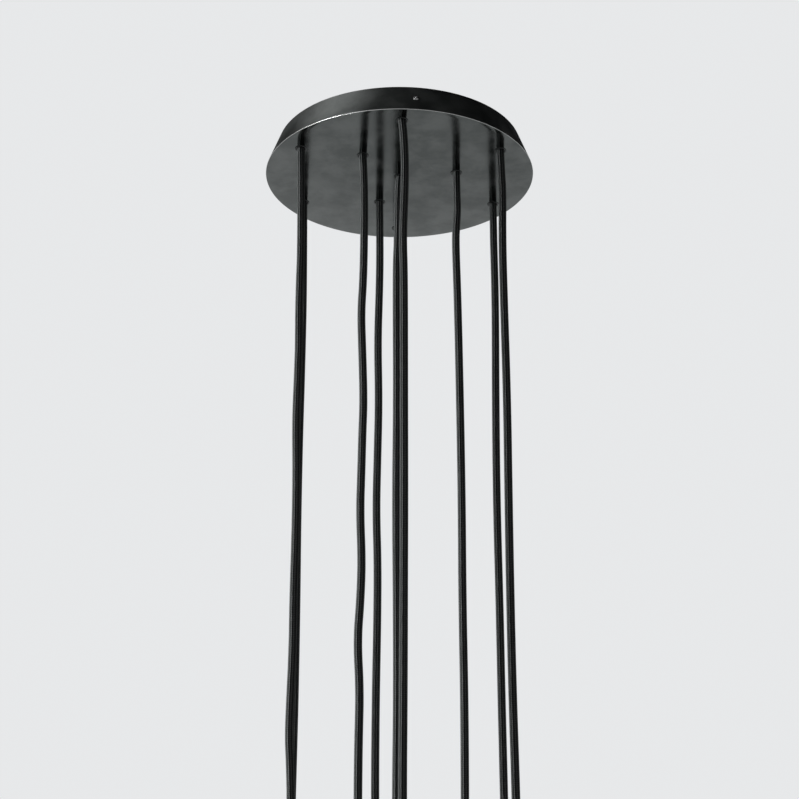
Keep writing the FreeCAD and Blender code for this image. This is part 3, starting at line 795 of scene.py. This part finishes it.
# each cord's line: sideways, forwards or back, and drop from the canopy's underside, in mm
hangs = {
    "01": [(0, 0, 0), (3.2, 0, -28), (3.7, 0.3, -88), (1.6, 0.5, -142), (1.1, 0.6, -172),
           (2.3, 0.3, -215), (2.2, 0, -370), (2.2, -0.3, -507), (1.6, -0.6, -630), (1.1, -0.3, -743),
           (0.1, 0, -845), (0.3, 0, -905)],
    "02": [(0, 0, 0), (0.7, 0, -30), (1.8, -0.2, -62), (0.1, -0.8, -135), (0.6, -0.5, -216),
           (1.9, 0, -350), (1, -0.4, -480), (0.5, -0.6, -605), (0.8, 0, -725), (2.2, 0.4, -835),
           (2.2, 0.4, -935)],
    "03": [(0, 0, 0), (0.2, 0, -32), (0.1, 0.3, -60), (0.9, 0.9, -146), (-1.4, 0.2, -290),
           (-2.6, 0, -430), (-1.5, -0.7, -565), (-1.3, -0.6, -690), (-0.6, 0, -805), (-0.2, 0, -965)],
    "04": [(0, 0, 0), (-0.2, 0, -110), (-0.8, 0.8, -240), (0.8, -0.7, -450), (-0.6, 0.5, -680),
           (0.7, 0, -880), (0.7, 0, -995)],
    "05": [(0, 0, 0), (1.5, 0, -90), (2.1, -0.8, -200), (-0.2, 0.7, -400), (1.8, -0.5, -640),
           (-0.4, 0.4, -880), (-0.4, 0.4, -1025)],
    "06": [(0, 0, 0), (3.2, 0.6, -125), (1.7, 0.2, -216), (2.8, -0.3, -284), (1.8, -0.6, -338),
           (1.1, -0.7, -378), (3.2, -0.8, -455), (3.3, -0.2, -531), (2.4, 0.4, -605),
           (2.8, 0.4, -666), (1.2, 0.2, -725), (0.4, 0, -768), (2.4, -0.2, -797), (4.6, -0.4, -845),
           (3.6, -0.5, -920), (3.6, -0.5, -1055)],
    "07": [(0, 0, 0), (0.2, 0.2, -27), (0.9, 0.4, -55), (-0.7, 0.5, -78), (-1.9, 0.6, -103),
           (0, 0.3, -186), (1.3, -0.4, -325), (2, -0.7, -460), (1.3, 0.2, -587), (2.2, 0.6, -710),
           (1.5, 0, -820), (0.2, -0.4, -950), (0.2, -0.4, -1090)],
    "08": [(0, 0, 0), (1.1, -0.5, -73), (0.4, -0.3, -133), (-1.6, 0, -208), (0.3, 0.7, -292),
           (-1.2, 0.1, -372), (-2.6, -0.6, -445), (-0.3, -0.2, -512), (-0.5, 0.1, -588),
           (-1.5, 0.3, -652), (-2.2, 0.5, -718), (-2.4, 0.4, -812), (-0.6, -0.4, -980),
           (-0.6, -0.4, -1130)],
    "09": [(0, 0, 0), (2.2, 0.3, -40), (2.7, 0.5, -110), (1.9, 0.2, -180), (-0.6, 0, -224),
           (1.3, -0.3, -277), (3.5, -0.7, -344), (2.2, -0.2, -386), (1.3, 0.2, -437), (0, 0.6, -490),
           (2.7, 0.2, -550), (1.4, -0.3, -600), (-2, -0.6, -650), (1.5, 0, -709), (0.4, 0.3, -768),
           (0.1, 0.5, -840), (0.9, -0.3, -1030), (0.9, -0.3, -1170)],
    "10": [(0, 0, 0), (-2, 0, -30), (-2.3, 0.2, -92), (-3.8, 0.5, -125), (-3.9, 0.7, -180),
           (-3.1, -0.5, -320), (-4.5, 0.3, -453), (-3.2, 0, -582), (-2.7, -0.4, -707), (-4, 0, -814),
           (-3.9, 0, -900)],
}
cordStyle = {"radius": 5.0, "ribDepth": 0.6, "sidesPerRib": 5, "ringEvery": 4.0,
             "riseIntoBushing": 1.0, "smoothness": 24}


def hangingLine(name):
    # the cord's smooth line, read from its spline
    x, y = exits[name]
    points = [Vector((x + a, y + b, undersideZ + drop)) for a, b, drop in hangs[name]]
    points[0].z += cordStyle["riseIntoBushing"]
    curve = bpy.data.curves.new("route" + name, "CURVE")
    curve.dimensions = "3D"
    curve.resolution_u = cordStyle["smoothness"]
    spline = curve.splines.new("NURBS")
    spline.points.add(len(points) - 1)
    for target, point in zip(spline.points, points):
        target.co = (*(point * mm), 1)
    spline.order_u = 3
    spline.use_endpoint_u = True
    route = addToScene("route" + name, curve)
    depsgraph = bpy.context.evaluated_depsgraph_get()
    mesh = bpy.data.meshes.new_from_object(route.evaluated_get(depsgraph), depsgraph=depsgraph)
    line = [v.co.copy() for v in mesh.vertices]
    bpy.data.objects.remove(route)
    return line


def evenSteps(line, step):
    # the same line with a point every step
    lengths = [0.0]
    for a, b in zip(line, line[1:]):
        lengths.append(lengths[-1] + (b - a).length)
    count = max(2, round(lengths[-1] / step))
    out = []
    j = 0
    for k in range(count + 1):
        want = lengths[-1] * k / count
        while j < len(line) - 2 and lengths[j + 1] < want:
            j += 1
        share = (want - lengths[j]) / max(lengths[j + 1] - lengths[j], 1e-9)
        out.append(line[j].lerp(line[j + 1], share))
    return out, lengths[-1]


def buildCord(name):
    style = cordStyle
    line, length = evenSteps(hangingLine(name), style["ringEvery"] * mm)
    bm = bmesh.new()
    uvLayer = bm.loops.layers.uv.new("cordMap")
    side = Vector((1, 0, 0))
    sides = sleeveFinish["ribs"] * style["sidesPerRib"]
    rings = []
    for i, point in enumerate(line):
        along = (line[min(i + 1, len(line) - 1)] - line[max(i - 1, 0)]).normalized()
        side = (side - along * side.dot(along)).normalized()
        other = along.cross(side)
        ring = []
        for k in range(sides):
            a = 2 * math.pi * k / sides
            dip = style["ribDepth"] * math.sin(sleeveFinish["ribs"] * a / 2) ** 2
            outward = side * math.cos(a) + other * math.sin(a)
            ring.append(bm.verts.new(point + outward * (style["radius"] - dip) * mm))
        rings.append(ring)
    run = length / (len(line) - 1)
    for i, (low, high) in enumerate(zip(rings, rings[1:])):
        for k, face in enumerate(bridge(bm, low, high)):
            corners = ((k, i), (k + 1, i), (k + 1, i + 1), (k, i + 1))
            for loop, (u, v) in zip(face.loops, corners):
                loop[uvLayer].uv = (u / sides, v * run)
    for ring in (rings[0], rings[-1]):
        bm.faces.new(ring)
    bmesh.ops.recalc_face_normals(bm, faces=bm.faces)
    bmesh.ops.scale(bm, vec=(1 / mm,) * 3, verts=bm.verts)
    piece = finishMesh("hangingCord" + name, bm, [cordTextile], 40,
                       "pendant_" + name, ["cord_" + name])
    return length


cordLengths = {name: buildCord(name) for name in exits}
print("cords made:", {name: round(length, 3) for name, length in cordLengths.items()})


def endOf(name):
    x, y = exits[name]
    a, b, drop = hangs[name][-1]
    return x + a, y + b, undersideZ + drop


def hangPiece(label, node, name, bm, finishes, sharpAngle):
    outwards(bm)
    finishMesh(label + name, bm, finishes, sharpAngle, "pendant_" + name, [node + name])


# cord grip: a hexagon with a round nose that holds the cord, and a spigot into the cup
grip = {
    "flats": 19.0, "hexH": 8.0, "recess": 7.0, "boreR": 5.3, "boreStep": 0.5, "noseH": 6.0, "noseEndR": 7.0,
    "lap": 0.3, "shoulderH": 1.6, "swell": 0.9, "lead": 0.4, "noseRounds": (1.2, 2.2, 0.4, 0.5),
    "spigotR": 5.0, "spigotH": 8.0, "spigotLap": 0.2, "spigotRound": 0.6,
}


def buildGrip(name, g):
    x, y, z = endOf(name)
    hexTop = z + g["recess"] - g["noseH"]
    hexLow = hexTop - g["hexH"]
    bm = bmesh.new()
    hexNut(bm, g["flats"], hexLow, hexTop, g["boreR"] - g["boreStep"], (x, y))
    footR = g["flats"] / 2 * hexStyle["endShare"]
    noseTop = hexTop + g["noseH"]
    rounds = g["noseRounds"]
    nose = [
        (footR, hexTop - g["lap"]), (footR, hexTop + g["shoulderH"], rounds[0]),
        (g["noseEndR"] + g["swell"], noseTop - g["lead"], rounds[1]),
        (g["noseEndR"] - g["lead"], noseTop, rounds[2]), (g["boreR"], noseTop, rounds[3]),
        (g["boreR"], z), (0.0, z), (0.0, hexTop - g["lap"]),
    ]
    lathe(bm, softCorners(nose), 56, (x, y, 0))
    spigotTop = hexLow + g["spigotLap"]
    spigotEnd = hexLow - g["spigotH"]
    spigot = [
        (0, spigotTop), (g["spigotR"], spigotTop),
        (g["spigotR"], spigotEnd, g["spigotRound"]), (0, spigotEnd),
    ]
    lathe(bm, softCorners(spigot), 40, (x, y, 0), closed=False)
    hangPiece("cordGrip", "cord_grip_", name, bm, [headMetal], 28)
    return x, y, hexLow


# socket cup. The bead at its mouth is how far in, how far up from the mouth, and the rounding.
cup = {
    "r": 19.0, "height": 52.0, "wall": 1.5, "shoulder": 7.0, "holeR": 5.2, "holeRound": 0.2,
    "mouthRound": 0.4, "bead": [(0, 1.6, 0.8), (0.35, 1.2, 0.3), (0, 0.7, 0.35), (0.3, 0, 0.4)],
}


def buildCup(name, c, place):
    mouthZ = -c["height"]
    insideR = c["r"] - c["wall"]
    profile = [(c["holeR"], 0, c["holeRound"]), (c["r"], 0, c["shoulder"])]
    profile += [(c["r"] - far, mouthZ + up, rounding) for far, up, rounding in c["bead"]]
    profile += [
        (insideR, mouthZ, c["mouthRound"]), (insideR, -c["wall"], c["shoulder"] - c["wall"]),
        (c["holeR"], -c["wall"], c["holeRound"]),
    ]
    bm = bmesh.new()
    lathe(bm, softCorners(profile), 96, place)
    hangPiece("socketCup", "socket_cup_", name, bm, [headMetal], 30)


# lampholder, with a groove round its lower end that is written as the cup's bead is
holder = {
    "r": 17.2, "height": 43.0, "boreR": 13.4, "topT": 9.0, "chamfer": 7.0,
    "topRound": 0.3, "chamferRound": 1.0, "mouthRound": 0.8, "throatRound": 0.4,
    "groove": [(0, 6.0, 0.3), (0.5, 5.5, 0.3), (0.5, 4.5, 0.3), (0, 4.0, 0.3)],
}


def buildHolder(name, h, place):
    mouthZ = -h["height"]
    profile = [
        (cup["holeR"], 0, h["topRound"]), (h["r"] - h["chamfer"], 0, h["chamferRound"]),
        (h["r"], -h["chamfer"], h["chamferRound"]),
    ]
    profile += [(h["r"] - far, mouthZ + up, rounding) for far, up, rounding in h["groove"]]
    profile += [
        (h["r"], mouthZ, h["mouthRound"]), (h["boreR"], mouthZ, h["mouthRound"]),
        (h["boreR"], -h["topT"], h["mouthRound"]), (cup["holeR"], -h["topT"], h["throatRound"]),
    ]
    bm = bmesh.new()
    lathe(bm, softCorners(profile), 72, place)
    hangPiece("lampHolder", "lampholder_", name, bm, [holderResin], 30)


# tubular lamp with a screw cap, its heights measured from the cup's top
lamp = {
    "capR": 13.1, "contactR": 5.0, "contactH": 2.5, "contactIn": 1.0, "capIn": 1.5, "seat": 0.3,
    "threads": 6, "threadFrom": 1.0, "threadPlain": 4, "threadDepth": 1.1, "threadRound": 0.9,
    "collarIn": 0.6, "collarH": (3, 2.5), "glassR": 16.0, "below": 74.0, "neckOut": 0.1, "neckH": 1.0,
    "shoulder": 4.0, "shoulderRound": 2.5, "dome": 10.0, "domeFrom": 2, "domeSteps": 12,
}


def buildLamp(name, l, place):
    contactZ = -cup["wall"] - holder["topT"]
    capTop = contactZ - 2 * l["contactH"]
    neckZ = -cup["wall"] - holder["height"] - l["seat"]
    endZ = -cup["height"] - l["below"]
    cap = [
        (0, contactZ), (l["contactR"] - l["contactIn"], contactZ, 0.5),
        (l["contactR"], contactZ - l["contactH"], 0.4), (l["capR"] - l["capIn"], capTop, 1.0),
    ]
    pitch = (capTop - neckZ - l["threadPlain"]) / l["threads"]
    for k in range(l["threads"]):   # rolled thread
        z = capTop - l["threadFrom"] - k * pitch
        cap += [(l["capR"] - l["threadDepth"], z), (l["capR"], z - pitch * 0.5, l["threadRound"])]
    cap += [
        (l["capR"] - l["collarIn"], neckZ + l["collarH"][0]), (l["capR"], neckZ + l["collarH"][1], 0.3),
        (l["capR"], neckZ),
    ]
    glass = softCorners([
        (l["capR"], neckZ), (l["capR"] + l["neckOut"], neckZ - l["neckH"], 1.0),
        (l["glassR"], neckZ - l["shoulder"], l["shoulderRound"]),
        (l["glassR"], endZ + l["dome"] + l["domeFrom"]),
    ], closed=False)
    ballR = (l["glassR"] ** 2 + l["dome"] ** 2) / (2 * l["dome"])
    rise = math.asin(l["glassR"] / ballR)
    for k in range(1, l["domeSteps"] + 1):
        a = rise * (1 - k / l["domeSteps"])
        glass.append(Vector((ballR * math.sin(a), endZ + ballR * (1 - math.cos(a)))))
    bm = bmesh.new()
    lathe(bm, softCorners(cap, closed=False), 56, place, 1, closed=False)
    lathe(bm, glass, 56, place, 0, closed=False)
    hangPiece("tubeLamp", "lamp_", name, bm, [opalGlass, capMetal], 30)


for name in exits:
    x, y, cupTop = buildGrip(name, grip)
    buildCup(name, cup, (x, y, cupTop))
    buildHolder(name, holder, (x, y, cupTop - cup["wall"]))
    buildLamp(name, lamp, (x, y, cupTop))
print("grips, cups, lampholders and lamps made")

# floor, light and camera
studio = {
    "floorZ": -1.62, "floorR": 9.0, "floorColour": (0.62, 0.63, 0.64), "floorGlow": 0.72,
    "floorMirrored": 0.45, "pale": (0.80, 0.81, 0.82), "ambient": 0.06,
    "ceiling": (0.012, 0.012, 0.013), "fadeFrom": 0.25, "fadeTo": 0.45,
}


def raysOf(tree):
    # 1 for what the camera sees, and 1 for what gloss and glass see
    path = tree.nodes.new("ShaderNodeLightPath")
    bent = math2(tree, "MAXIMUM", path.outputs["Is Glossy Ray"], path.outputs["Is Transmission Ray"])
    return path.outputs["Is Camera Ray"], bent


floorMaterial, floorTree, floorShader = newMaterial("studioFloor", Roughness=0.7)
floorShader.inputs["Base Color"].default_value = (*studio["floorColour"], 1)
floorShader.inputs["Emission Color"].default_value = (*studio["pale"], 1)
# the floor's paleness for the eye and for gloss, with no light from it on the object
floorSeen, floorBent = raysOf(floorTree)
floorSeen = math2(floorTree, "MULTIPLY", floorSeen, studio["floorGlow"])
floorBent = math2(floorTree, "MULTIPLY", floorBent, studio["floorMirrored"])
floorGlow = math2(floorTree, "ADD", floorSeen, floorBent)
floorTree.links.new(floorGlow, floorShader.inputs["Emission Strength"])
floorBm = bmesh.new()
bmesh.ops.create_circle(floorBm, cap_ends=True, radius=studio["floorR"], segments=96)
bmesh.ops.translate(floorBm, vec=(0, 0, studio["floorZ"]), verts=floorBm.verts)
floor = addToScene("studioFloor", toMesh("studioFloor", floorBm, [floorMaterial]))

world = bpy.data.worlds.new("studioLight")
world.use_nodes = True
bpy.context.scene.world = world
skyTree = world.node_tree
sky = skyTree.nodes["Background"]
skyCoord = skyTree.nodes.new("ShaderNodeTexCoord")
skySplit = skyTree.nodes.new("ShaderNodeSeparateXYZ")
skyTree.links.new(skyCoord.outputs["Generated"], skySplit.inputs[0])
fade = skyTree.nodes.new("ShaderNodeMapRange")
fade.interpolation_type = "SMOOTHSTEP"
fade.inputs[1].default_value = studio["fadeFrom"]
fade.inputs[2].default_value = studio["fadeTo"]
skyTree.links.new(skySplit.outputs[2], fade.inputs[0])
# the camera sees a pale backdrop all round, and gloss sees it too, under a dark ceiling
mirrored = blendColour(skyTree, fade.outputs[0], studio["pale"], studio["ceiling"])
skySeen, skyBent = raysOf(skyTree)
unseen = blendColour(skyTree, skyBent, (studio["ambient"],) * 3, mirrored)
skyTree.links.new(blendColour(skyTree, skySeen, unseen, studio["pale"]), sky.inputs["Color"])
sky.inputs["Strength"].default_value = 1.0

lampsInRoom = {
    "keyAbove": {"at": (-0.945, -0.02, 1.75), "aim": (0, 0, 0), "wide": 0.82, "tall": 0.82, "power": 2.25},
    "keyLeft": {"at": (-2.0, 0.1, -0.9), "aim": (0, 0, -0.6), "wide": 0.3, "tall": 1.6, "power": 90.0},
    # only mirrored, as the bright line along the metal's edges
    "glint": {"at": (-1.86, -1.25, 0.24), "aim": (0, 0, -0.04), "wide": 0.85, "tall": 0.4, "power": 82.0},
    # plain light for the back and the top, not mirrored in the metal
    "fillBehind": {"at": (0.45, 1.6, -0.8), "aim": (0, 0, -0.7), "wide": 0.6, "tall": 1.4, "power": 12.0},
    "fillOver": {"at": (0.0, 0.0, 2.0), "aim": (0, 0, 0), "wide": 0.5, "tall": 0.5, "power": 20.0},
}
# the low lamps leave the floor out, which would show a bright pool beside each
floorOnly = bpy.data.collections.new("floorOnly")
floorOnly.objects.link(floor)
floorOnly.collection_objects[0].light_linking.link_state = "EXCLUDE"
for label, l in lampsInRoom.items():
    light = bpy.data.lights.new(label, "AREA")
    light.shape = "RECTANGLE"
    light.size = l["wide"]
    light.size_y = l["tall"]
    light.energy = l["power"]
    spot = addToScene(label, light)
    spot.location = l["at"]
    spot.rotation_euler = (Vector(l["aim"]) - Vector(l["at"])).to_track_quat("-Z", "Y").to_euler()
    spot.visible_camera = False
    spot.visible_diffuse = label != "glint"
    spot.visible_glossy = label in ("keyAbove", "glint")
    if label in ("keyLeft", "glint", "fillBehind"):
        spot.light_linking.receiver_collection = floorOnly

view = {"at": (0.0, -2.352, -1.315), "pitch": 22.09, "lens": 90.11, "sensor": 36.0, "seesTo": 60.0}
cameraData = bpy.data.cameras.new("viewpoint")
cameraData.lens = view["lens"]
cameraData.sensor_width = view["sensor"]
cameraData.clip_end = view["seesTo"]
camera = addToScene("viewpoint", cameraData)
camera.location = view["at"]
camera.rotation_euler = (math.radians(90 + view["pitch"]), 0, 0)
bpy.context.scene.camera = camera
bpy.context.scene.view_settings.view_transform = "Standard"
print("floor, light and camera made")
